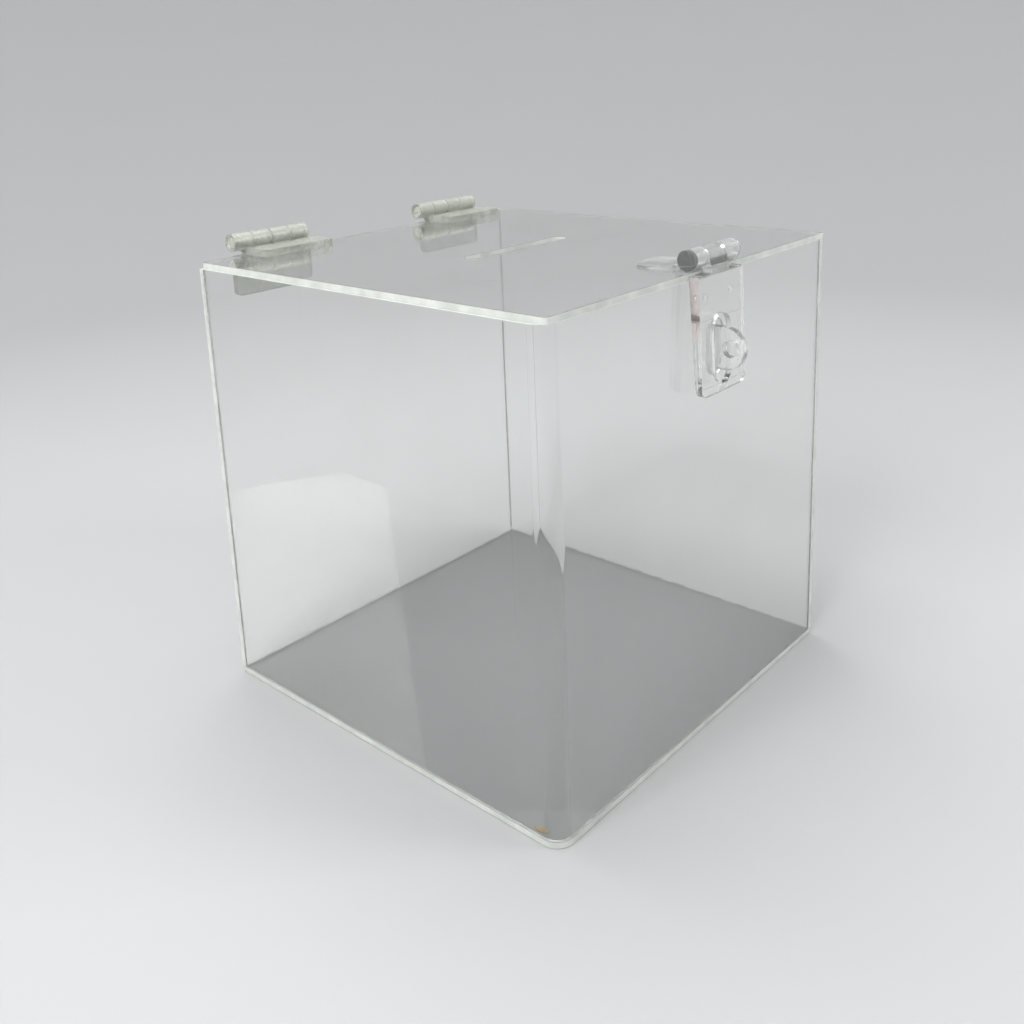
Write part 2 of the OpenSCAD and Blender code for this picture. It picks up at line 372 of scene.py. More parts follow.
class Finish:
    """Base of the finishes: a Principled shader with its coordinates."""

    def start(self, name: str) -> tuple[bpy.types.Material, Graph, bpy.types.Node,
                                        bpy.types.NodeSocket]:
        """Makes an empty material.

        Args:
            name: the material's name.

        Returns:
            The material, its graph, its Principled shader and its object coordinates.
        """
        material = bpy.data.materials.new(name)
        material.use_nodes = True
        material.node_tree.nodes.clear()
        graph = Graph(material.node_tree)
        shader = graph.add("ShaderNodeBsdfPrincipled")
        graph.add("ShaderNodeOutputMaterial", {"Surface": shader.outputs[0]})
        coordinates = graph.add("ShaderNodeTexCoord").outputs["Object"]
        return material, graph, shader, coordinates

    def group(self, graph: Graph, tree: bpy.types.NodeTree,
              inputs: dict[str, object]) -> bpy.types.Node:
        """Places a shared effect in a material.

        Args:
            graph: the material's graph.
            tree: the effect's node group.
            inputs: values or sockets for the group's inputs.

        Returns:
            The group's node.
        """
        return graph.add("ShaderNodeGroup", inputs, node_tree=tree)

    def bump(self, graph: Graph, shader: bpy.types.Node, height: bpy.types.NodeSocket,
             depth: float, strength: float) -> None:
        """Feeds a bump into a shader.

        Args:
            graph: the material's graph.
            shader: the shader that gets it.
            height: the height's socket.
            depth: depth of the bump in metres.
            strength: its strength.
        """
        node = graph.add("ShaderNodeBump", {
            "Height": height, "Distance": depth, "Strength": strength})
        graph.link(node.outputs[0], shader.inputs["Normal"])

    def make_clear(self, shader: bpy.types.Node, transmission: float) -> None:
        """Gives a shader the acrylic's refraction and its share of light let through.

        Args:
            shader: the shader that gets them.
            transmission: share of the light that goes through.
        """
        shader.inputs["IOR"].default_value = ACRYLIC_IOR
        shader.inputs["Transmission Weight"].default_value = transmission


@dataclass(frozen=True)
class ClearAcrylic(Finish):
    """Glossy cast acrylic with hairline scratches and a patchy film."""

    name: str
    colour: Colour = (0.984, 0.993, 0.986)
    film_colour: Colour = (0.955, 0.96, 0.955)
    film: float = 0.03
    low_edge: float = 0.0
    rarity: float = 0.72
    transmission: float = 1.0
    polish: float = 0.004
    scratch_roughness: float = 0.18
    scratch_depth: float = 0.004 * MM
    scratch_strength: float = 0.25

    def build(self, effects: Effects) -> bpy.types.Material:
        """Builds the material.

        Args:
            effects: the shared node groups.

        Returns:
            The material.
        """
        material, graph, shader, where = self.start(self.name)
        lines = self.group(graph, effects.hairlines, {"Vector": where, "Rarity": self.rarity})
        film = self.group(graph, effects.film, {"Vector": where, "Low Edge": self.low_edge})
        colour = graph.blend(film.outputs["Mask"], rgba(self.colour), rgba(self.film_colour))
        graph.link(colour, shader.inputs["Base Color"])
        rough = graph.math("ADD", graph.math("MULTIPLY", film.outputs["Mask"], self.film),
                           graph.math("MULTIPLY", lines.outputs["Mask"],
                                      self.scratch_roughness))
        graph.link(graph.math("ADD", rough, self.polish), shader.inputs["Roughness"])
        self.bump(graph, shader, graph.math("SUBTRACT", 1.0, lines.outputs["Mask"]),
                  self.scratch_depth, self.scratch_strength)
        self.make_clear(shader, self.transmission)
        return material


@dataclass(frozen=True)
class SawnEdge(Finish):
    """Sawn and flame-licked edge of the sheet: whitish, slightly green, half bright."""

    name: str
    colour: Colour = (0.86, 0.885, 0.845)
    shade: Colour = (0.66, 0.69, 0.64)
    transmission: float = 0.22
    roughness: float = 0.28
    shade_roughness: float = 0.25
    mark_depth: float = 0.08 * MM
    mark_strength: float = 0.6

    def build(self, effects: Effects) -> bpy.types.Material:
        """Builds the material.

        Args:
            effects: the shared node groups.

        Returns:
            The material.
        """
        material, graph, shader, where = self.start(self.name)
        marks = self.group(graph, effects.saw_marks, {"Vector": where})
        colour = graph.blend(marks.outputs["Tone"], rgba(self.colour), rgba(self.shade))
        graph.link(colour, shader.inputs["Base Color"])
        rough = graph.spread(marks.outputs["Tone"], (0.0, 1.0),
                             (self.roughness, self.roughness + self.shade_roughness))
        graph.link(rough, shader.inputs["Roughness"])
        self.bump(graph, shader, marks.outputs["Height"], self.mark_depth, self.mark_strength)
        self.make_clear(shader, self.transmission)
        return material


@dataclass(frozen=True)
class SideTint:
    """Tint on one side of a moulding, down to a height."""

    colour: Colour
    side: float
    above: float
    side_fade: float = 0.4 * MM
    height_fade: float = 4 * MM


@dataclass(frozen=True)
class Moulding(Finish):
    """Injection-moulded plastic, from milky to crystal clear."""

    name: str
    colour: Colour
    cloud: Colour
    transmission: float
    roughness: float
    side_tint: SideTint | None = None
    cloud_roughness: float = 1.6
    scratch_scale: float = 1500.0
    scratch_roughness: float = 0.2
    flow_depth: float = 0.25 * MM
    flow_strength: float = 0.35

    def build(self, effects: Effects) -> bpy.types.Material:
        """Builds the material.

        Args:
            effects: the shared node groups.

        Returns:
            The material.
        """
        material, graph, shader, where = self.start(self.name)
        flow = self.group(graph, effects.flow, {"Vector": where})
        lines = self.group(graph, effects.hairlines, {
            "Vector": where, "Scale": self.scratch_scale})
        colour = graph.blend(flow.outputs["Tone"], rgba(self.colour), rgba(self.cloud))
        # Pinkish tint on the side face at low X, above a height.
        if self.side_tint:
            side_tint = self.side_tint
            place = graph.add("ShaderNodeSeparateXYZ", {0: where})
            side = graph.spread(place.outputs["X"], (side_tint.side, side_tint.side - side_tint.side_fade))
            high = graph.spread(place.outputs["Z"],
                                (side_tint.above, side_tint.above + side_tint.height_fade))
            colour = graph.blend(graph.math("MULTIPLY", side, high), colour,
                                 rgba(side_tint.colour))
        graph.link(colour, shader.inputs["Base Color"])
        clouded = graph.spread(flow.outputs["Tone"], (0.0, 1.0),
                               (self.roughness, self.roughness * self.cloud_roughness))
        rough = graph.math("ADD", clouded, graph.math(
            "MULTIPLY", lines.outputs["Mask"], self.scratch_roughness))
        graph.link(rough, shader.inputs["Roughness"])
        self.bump(graph, shader, flow.outputs["Height"], self.flow_depth, self.flow_strength)
        self.make_clear(shader, self.transmission)
        return material


@dataclass(frozen=True)
class Speck(Finish):
    """Matt matter such as dust, dried cement or a chip of masking paper."""

    name: str
    colour: Colour
    shade: Colour
    scale: float = 800.0
    transmission: float = 0.0
    roughness: Range = (0.45, 0.8)
    grain_depth: float = 0.1 * MM
    grain_strength: float = 0.5

    def build(self, effects: Effects) -> bpy.types.Material:
        """Builds the material.

        Args:
            effects: the shared node groups.

        Returns:
            The material.
        """
        material, graph, shader, where = self.start(self.name)
        flow = self.group(graph, effects.flow, {"Vector": where, "Scale": self.scale})
        colour = graph.blend(flow.outputs["Tone"], rgba(self.colour), rgba(self.shade))
        graph.link(colour, shader.inputs["Base Color"])
        graph.link(graph.spread(flow.outputs["Tone"], (0.0, 1.0), self.roughness),
                   shader.inputs["Roughness"])
        self.bump(graph, shader, flow.outputs["Height"], self.grain_depth, self.grain_strength)
        shader.inputs["Transmission Weight"].default_value = self.transmission
        return material


class Finishes:
    """Every material of the box, built once."""

    tint_depth = 0.8 * MM
    tint_length = 53 * MM

    def __init__(self) -> None:
        """Builds the materials."""
        effects = Effects()
        low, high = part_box("hasp_strap")
        # Pinkish tint on the strap's side face at low X, over its top part.
        side_tint = SideTint(colour=(0.93, 0.80, 0.75), side=low.x + self.tint_depth,
                      above=high.z - self.tint_length)
        self.wall = ClearAcrylic("clear_acrylic_wall", low_edge=0.5).build(effects)
        # The base lets less light through than the walls and lid, which gives it a milky white
        # diffuse share. This share is partly real haze of scratches and dust, and partly
        # painted light that brightens the base in place of light reaching it through the glass.
        self.base = ClearAcrylic("clear_acrylic_base", film=0.05,
                                 transmission=0.88).build(effects)
        self.lid = ClearAcrylic("clear_acrylic_lid", film=0.025, rarity=0.71).build(effects)
        self.edge = SawnEdge("sawn_edge").build(effects)
        self.joint = SawnEdge(
            "cemented_edge", colour=(0.80, 0.83, 0.79), shade=(0.62, 0.65, 0.61),
            transmission=0.55, roughness=0.18).build(effects)
        self.hinge = Moulding(
            "milky_hinge_plastic", colour=(0.86, 0.88, 0.82), cloud=(0.78, 0.80, 0.735),
            transmission=0.72, roughness=0.17).build(effects)
        self.hinge_pin = Moulding(
            "milky_pin_plastic", colour=(0.84, 0.85, 0.76), cloud=(0.76, 0.77, 0.68),
            transmission=0.45, roughness=0.25).build(effects)
        self.hasp = Moulding(
            "crystal_hasp_plastic", colour=(0.985, 0.992, 0.986), cloud=(0.97, 0.98, 0.972),
            transmission=0.86, roughness=0.02).build(effects)
        self.strap = Moulding(
            "crystal_strap_plastic", colour=(0.985, 0.992, 0.986), cloud=(0.97, 0.98, 0.972),
            transmission=0.92, roughness=0.02, side_tint=side_tint).build(effects)
        self.cement = Speck("dried_cement", colour=(0.90, 0.92, 0.88),
                            shade=(0.78, 0.80, 0.76), transmission=0.5).build(effects)
        self.dust = Speck("house_dust", colour=(0.80, 0.79, 0.76),
                          shade=(0.62, 0.60, 0.57)).build(effects)
        self.paper = Speck("masking_paper_chip", colour=(0.50, 0.36, 0.15),
                           shade=(0.34, 0.23, 0.09), scale=300.0).build(effects)


def add_piece(name: str, mesh: bpy.types.Mesh, body: Body,
              stands_for: Sequence[str] = ()) -> bpy.types.Object:
    """Puts a finished mesh into the scene, on its body's empty, and hides the nodes that it
    stands for.

    Args:
        name: the piece's name.
        mesh: its mesh, already in place and with its materials.
        body: the body that it rides on.
        stands_for: nodes that it replaces.

    Returns:
        The new object.
    """
    piece = bpy.data.objects.new(name, mesh)
    bpy.context.scene.collection.objects.link(piece)
    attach(piece, body.value)
    if stands_for:
        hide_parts(*stands_for)
    if name not in LOOSE_MATTER:
        even = piece.modifiers.new("even_normals", "WEIGHTED_NORMAL")
        even.weight = EVEN_WEIGHT
        even.keep_sharp = True
    log.info("%s: %d faces on %s", name, len(mesh.polygons), body.value)
    return piece


def settle(shape: bmesh.types.BMesh, name: str, materials: Sequence[bpy.types.Material],
           smooth_below: float = SMOOTH_BELOW) -> bpy.types.Mesh:
    """Turns a working mesh into a finished one with outward faces and soft shading.

    Args:
        shape: the working mesh, whose faces agree with each other, and which is freed.
        name: the mesh's name.
        materials: its materials, in the order of the faces' numbers.
        smooth_below: angle in degrees below which neighbouring faces shade smoothly.

    Returns:
        The finished mesh.
    """
    if shape.calc_volume(signed=True) < 0:
        bmesh.ops.reverse_faces(shape, faces=shape.faces)
    mesh = bpy.data.meshes.new(name)
    shape.to_mesh(mesh)
    shape.free()
    for material in materials:
        mesh.materials.append(material)
    mesh.shade_smooth()
    mesh.set_sharp_from_angle(angle=math.radians(smooth_below))
    return mesh


def soften(shape: bmesh.types.BMesh, width: float) -> None:
    """Rounds the sharp edges of a working mesh.

    Args:
        shape: the working mesh.
        width: width of the rounding in metres.
    """
    limit = math.radians(SHARP_ABOVE)
    sharp = [e for e in shape.edges if e.is_manifold and e.calc_face_angle(0.0) > limit]
    bmesh.ops.bevel(shape, geom=sharp, offset=width, offset_type="OFFSET",
                    segments=SOFTENING_STEPS, profile=0.5, affect="EDGES",
                    clamp_overlap=True, material=-1)


def moulded_copy(node: str, width: float, material: bpy.types.Material) -> bpy.types.Mesh:
    """Copies a node's mesh, cleans it and rounds its edges as a mould does.

    Args:
        node: the node's name.
        width: width of the rounding in metres.
        material: the copy's material.

    Returns:
        The finished mesh.
    """
    shape = bmesh.new()
    shape.from_mesh(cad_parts[node].data)
    bmesh.ops.remove_doubles(shape, verts=shape.verts, dist=MERGE_DISTANCE)
    bmesh.ops.dissolve_limit(shape, angle_limit=math.radians(FLAT_WITHIN), verts=shape.verts,
                             edges=shape.edges)
    for face in shape.faces:
        face.material_index = Side.FACE
    soften(shape, width)
    return settle(shape, node + "_mould", [material])


def arc(centre: Point, radius: float, start: float, end: float, steps: int) -> list[Point]:
    """Points of an arc.

    Args:
        centre: its centre.
        radius: its radius.
        start: first angle in degrees.
        end: last angle in degrees.
        steps: number of steps along it.

    Returns:
        The points, from start to end.
    """
    points = []
    for step in range(steps + 1):
        angle = math.radians(start + (end - start) * step / steps)
        points.append((centre[0] + radius * math.cos(angle),
                       centre[1] + radius * math.sin(angle)))
    return points


def rounded_outline(low: Vector, high: Vector, radii: Sequence[float]) -> list[Point]:
    """Outline of a rectangle with its own radius at each corner.

    Args:
        low: lowest corner.
        high: highest corner.
        radii: radius at the near left, near right, far right and far left corner.

    Returns:
        The outline's points, against the clock.
    """
    corners = [(low.x, low.y, 1, 1), (high.x, low.y, -1, 1), (high.x, high.y, -1, -1),
               (low.x, high.y, 1, -1)]
    points = []
    for number, ((x, y, right, up), radius) in enumerate(zip(corners, radii)):
        turn = 180 + 90 * number
        points += arc((x + right * radius, y + up * radius), radius, turn, turn + 90,
                      CORNER_STEPS)
    return points


def slot_outline(middle: Point, length: float, width: float) -> list[Point]:
    """Outline of a slot along X with round ends.

    Args:
        middle: its middle.
        length: its length over the round ends.
        width: its width.

    Returns:
        The outline's points, against the clock.
    """
    reach, radius = (length - width) / 2, width / 2
    right = arc((middle[0] + reach, middle[1]), radius, -90, 90, SLOT_END_STEPS)
    left = arc((middle[0] - reach, middle[1]), radius, 90, 270, SLOT_END_STEPS)
    return right + left


def join_rings(shape: bmesh.types.BMesh, under: Sequence[bmesh.types.BMVert],
               over: Sequence[bmesh.types.BMVert], number: int) -> None:
    """Closes the gap between two rings of points with a belt of faces.

    Args:
        shape: the working mesh.
        under: the lower ring.
        over: the upper ring, point for point.
        number: the material's number on the belt.
    """
    for step in range(len(under)):
        following = (step + 1) % len(under)
        face = shape.faces.new((under[step], under[following], over[following], over[step]))
        face.material_index = number


def flat_sheet(outline: Sequence[Point], low: float, high: float,
               hole: Sequence[Point] = ()) -> bmesh.types.BMesh:
    """Working mesh of a level sheet with sawn edges.

    Args:
        outline: its outline.
        low: height of its underside.
        high: height of its top.
        hole: outline of a hole through it.

    Returns:
        The working mesh.
    """
    shape = bmesh.new()
    levels = []
    for height in (low, high):
        rings = [[shape.verts.new((x, y, height)) for x, y in ring]
                 for ring in (outline, hole) if ring]
        levels.append(rings)
        if hole:
            edges = []
            for ring in rings:
                edges += [shape.edges.new(pair) for pair in zip(ring, ring[1:] + ring[:1])]
            bmesh.ops.bridge_loops(shape, edges=edges)
        else:
            shape.faces.new(rings[0])
    for under, over in zip(*levels):
        join_rings(shape, under, over, Side.EDGE)
    bmesh.ops.recalc_face_normals(shape, faces=shape.faces)
    return shape


def block(low: Vector, high: Vector) -> bmesh.types.BMesh:
    """Working mesh of a rectangular block.

    Args:
        low: lowest corner.
        high: highest corner.

    Returns:
        The working mesh.
    """
    shape = bmesh.new()
    middle, size = (low + high) / 2, high - low
    bmesh.ops.create_cube(shape, size=1.0,
                          matrix=Matrix.Translation(middle) @ Matrix.Diagonal((*size, 1.0)))
    return shape


class GeometryRule:
    """A Geometry Nodes tree with named inputs, run once and kept as a plain mesh."""

    def __init__(self, name: str, inputs: Sequence[tuple[str, str, object]]) -> None:
        """Starts the tree.

        Args:
            name: the tree's name.
            inputs: label, socket type and value of each input.
        """
        self.name = name
        self.tree = bpy.data.node_groups.new(name, "GeometryNodeTree")
        for way in ("INPUT", "OUTPUT"):
            self.tree.interface.new_socket(name="Geometry", in_out=way,
                                           socket_type="NodeSocketGeometry")
        self.values: dict[str, object] = {}
        for label, kind, value in inputs:
            socket = self.tree.interface.new_socket(name=label, in_out="INPUT",
                                                    socket_type=kind)
            self.values[socket.identifier] = value
        self.graph = Graph(self.tree)
        self.given = self.graph.add("NodeGroupInput").outputs
        self.out = self.graph.add("NodeGroupOutput")

    def close(self, geometry: bpy.types.NodeSocket, material: bpy.types.NodeSocket) -> None:
        """Ends the tree in Realize Instances and Set Material.

        Args:
            geometry: what the tree has made.
            material: the group's material input.
        """
        real = self.graph.add("GeometryNodeRealizeInstances", {"Geometry": geometry})
        dressed = self.graph.add("GeometryNodeSetMaterial", {
            "Geometry": real.outputs[0], "Material": material})
        self.graph.link(dressed.outputs[0], self.out.inputs["Geometry"])

    def run(self, host: bpy.types.Mesh) -> bpy.types.Mesh:
        """Runs the tree on a host mesh.

        Args:
            host: the mesh that the tree starts from, which is removed.

        Returns:
            The result as a plain mesh.
        """
        carrier = bpy.data.objects.new(self.name + "_carrier", host)
        bpy.context.scene.collection.objects.link(carrier)
        modifier = carrier.modifiers.new("rule", "NODES")
        modifier.node_group = self.tree
        for identifier, value in self.values.items():
            modifier[identifier] = value
        graph = bpy.context.evaluated_depsgraph_get()
        made = bpy.data.meshes.new_from_object(carrier.evaluated_get(graph),
                                               preserve_all_data_layers=True,
                                               depsgraph=graph)
        made.name = self.name
        carrier.modifiers.remove(modifier)
        bpy.data.objects.remove(carrier)
        bpy.data.meshes.remove(host)
        return made


def line_mesh(name: str, paths: Sequence[Sequence[Vector]]) -> bpy.types.Mesh:
    """Mesh of edges only, one chain for each path.

    Args:
        name: the mesh's name.
        paths: the chains' points.

    Returns:
        The mesh.
    """
    points, edges = [], []
    for path in paths:
        first = len(points)
        points += [tuple(point) for point in path]
        edges += [(first + i, first + i + 1) for i in range(len(path) - 1)]
    mesh = bpy.data.meshes.new(name)
    mesh.from_pydata(points, edges, [])
    return mesh


def patch_mesh(name: str, corners: Sequence[Vector]) -> bpy.types.Mesh:
    """Mesh of one flat face.

    Args:
        name: the mesh's name.
        corners: the face's corners, in order round it.

    Returns:
        The mesh.
    """
    mesh = bpy.data.meshes.new(name)
    mesh.from_pydata([tuple(corner) for corner in corners], [], [tuple(range(len(corners)))])
    return mesh


@dataclass
class SheetBox:
    """The acrylic sheets: base, bent wall, two flat walls and the lid."""

    finishes: Finishes
    bend_radius: float = 12 * MM
    corner_radius: float = 2.5 * MM
    slot_length: float = 98 * MM
    slot_width: float = 11 * MM
    bond: float = 0.04 * MM
    arris: float = 0.3 * MM
    bend_steps: int = 32

    def build(self) -> None:
        """Builds every sheet."""
        self.base()
        self.bent_wall()
        self.wall("hinged_wall", Axis.Y)
        self.wall("side_wall", Axis.X)
        self.lid()

    def inset(self, node: str) -> tuple[Vector, Vector]:
        """A node's box, drawn in by the bond so that no two sheets share a face.

        Args:
            node: the node's name.

        Returns:
            Lowest and highest corner.
        """
        low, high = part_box(node)
        gap = Vector((self.bond,) * 3)
        return Vector(low) + gap, Vector(high) - gap

    def base(self) -> None:
        """Base sheet, with the bent corner's radius at the near corner."""
        low, high = self.inset("base_plate")
        low.z -= self.bond
        radii = [self.bend_radius] + [self.corner_radius] * 3
        shape = flat_sheet(rounded_outline(low, high, radii), low.z, high.z)
        soften(shape, self.arris)
        mesh = settle(shape, "base_sheet", [self.finishes.base, self.finishes.edge])
        add_piece("base_sheet", mesh, Body.BOX, ["base_plate"])

    def lid(self) -> None:
        """Lid sheet with its ballot slot."""
        low, high = self.inset("lid_panel")
        middle = ((low.x + high.x) / 2, (low.y + high.y) / 2)
        shape = flat_sheet(rounded_outline(low, high, [self.corner_radius] * 4), low.z, high.z,
                           slot_outline(middle, self.slot_length, self.slot_width))
        soften(shape, self.arris)
        mesh = settle(shape, "lid_sheet", [self.finishes.lid, self.finishes.edge])
        add_piece("lid_sheet", mesh, Body.LID, ["lid_panel"])

    def finish_wall(self, shape: bmesh.types.BMesh, node: str) -> None:
        """Softens a wall's edges, dresses it and adds it.

        Args:
            shape: the wall's working mesh.
            node: the node that it stands for.
        """
        soften(shape, self.arris)
        name = node.replace("wall", "sheet")
        mesh = settle(shape, name, [self.finishes.wall, self.finishes.edge,
                                    self.finishes.joint])
        add_piece(name, mesh, Body.BOX, [node])

    def wall(self, node: str, thickness: Axis) -> None:
        """Flat wall: clear faces, sawn edges and a cemented underside.

        Args:
            node: the node that it stands for.
            thickness: the axis that its thickness lies along.
        """
        shape = block(*self.inset(node))
        for face in shape.faces:
            if abs(face.normal[thickness.value]) < FACING:
                face.material_index = Side.JOINT if face.normal.z < -FACING else Side.EDGE
        self.finish_wall(shape, node)

    def bent_wall(self) -> None:
        """One sheet swept round the near corner by a Geometry Nodes rule."""
        low, high = self.inset("bent_wall")
        flat_low, flat_high = self.inset("hinged_wall")
        thick = flat_high.y - flat_low.y
        half = thick / 2
        rule = GeometryRule("bent_sheet", [
            ("Bend Radius", "NodeSocketFloat", self.bend_radius - self.bond - half),
            ("Bend Steps", "NodeSocketInt", self.bend_steps),
            ("Thickness", "NodeSocketFloat", thick),
            ("Height", "NodeSocketFloat", high.z - low.z),
            ("Face", "NodeSocketMaterial", self.finishes.wall)])
        graph, given = rule.graph, rule.given
        path = graph.add("GeometryNodeMeshToCurve", {0: given["Geometry"]})
        bent = graph.add("GeometryNodeFilletCurve", {
            "Curve": path.outputs[0], "Radius": given["Bend Radius"]}, mode="POLY")
        graph.link(given["Bend Steps"], bent.inputs["Count"])
        upright = graph.add("GeometryNodeSetCurveNormal", {"Curve": bent.outputs[0]},
                            mode="Z_UP")
        profile = graph.add("GeometryNodeCurvePrimitiveQuadrilateral", {
            "Width": given["Thickness"], "Height": given["Height"]})
        swept = graph.add("GeometryNodeCurveToMesh", {
            "Curve": upright.outputs[0], "Profile Curve": profile.outputs[0],
            "Fill Caps": True})
        rule.close(swept.outputs[0], given["Face"])
        middle = (low.z + high.z) / 2
        route = [Vector((low.x + half, high.y, middle)),
                 Vector((low.x + half, low.y + half, middle)),
                 Vector((high.x, low.y + half, middle))]
        shape = bmesh.new()
        shape.from_mesh(rule.run(line_mesh("bent_path", [route])))
        bmesh.ops.remove_doubles(shape, verts=shape.verts, dist=MERGE_DISTANCE)
        bmesh.ops.recalc_face_normals(shape, faces=shape.faces)
        for face in shape.faces:
            centre = face.calc_center_median()
            at_end = centre.y > high.y - self.bond or centre.x > high.x - self.bond
            if face.normal.z < -FACING or at_end:
                face.material_index = Side.JOINT
            elif face.normal.z > FACING:
                face.material_index = Side.EDGE
            else:
                face.material_index = Side.FACE
        self.finish_wall(shape, "bent_wall")


@dataclass
class Hinges:
    """The two moulded hinges with their pins."""

    finishes: Finishes
    softness: float = 0.35 * MM
    pin_softness: float = 0.25 * MM

    def build(self) -> None:
        """Builds the leaves and the pins on both sides."""
        for side in ("left", "right"):
            self.leaf(side + "_wall_leaf", Body.BOX)
            self.leaf(side + "_lid_leaf", Body.LID)
            node = side + "_hinge_pin"
            mesh = moulded_copy(node, self.pin_softness, self.finishes.hinge_pin)
            add_piece(side + "_pin_rod", mesh, Body.BOX, [node])

    def leaf(self, node: str, body: Body) -> None:
        """One leaf with its knuckles.

        Args:
            node: the node that it stands for.
            body: the body that it rides on.
        """
        mesh = moulded_copy(node, self.softness, self.finishes.hinge)
        add_piece(node.replace("leaf", "moulding"), mesh, body, [node])


@dataclass
class Hasp:
    """The clear hasp: tab on the lid, strap, pin and staple."""

    finishes: Finishes
    softness: float = 0.4 * MM
    fine_softness: float = 0.12 * MM

    def build(self) -> None:
        """Builds the four mouldings."""
        clear, tinted = self.finishes.hasp, self.finishes.strap
        fine, soft = self.fine_softness, self.softness
        parts = [("hasp_lid_tab", "tab_moulding", Body.LID, Slot.HASP, clear, fine),
                 ("hasp_strap", "strap_moulding", Body.STRAP, Slot.HASP, tinted, soft),
                 ("hasp_pin", "headed_pin", Body.LID, Slot.HASP_PIN, clear, fine),
                 ("staple", "staple_moulding", Body.BOX, Slot.HASP, clear, soft)]
        for node, name, body, slot, material, width in parts:
            add_piece(name, moulded_copy(node, width, material), body, [node])


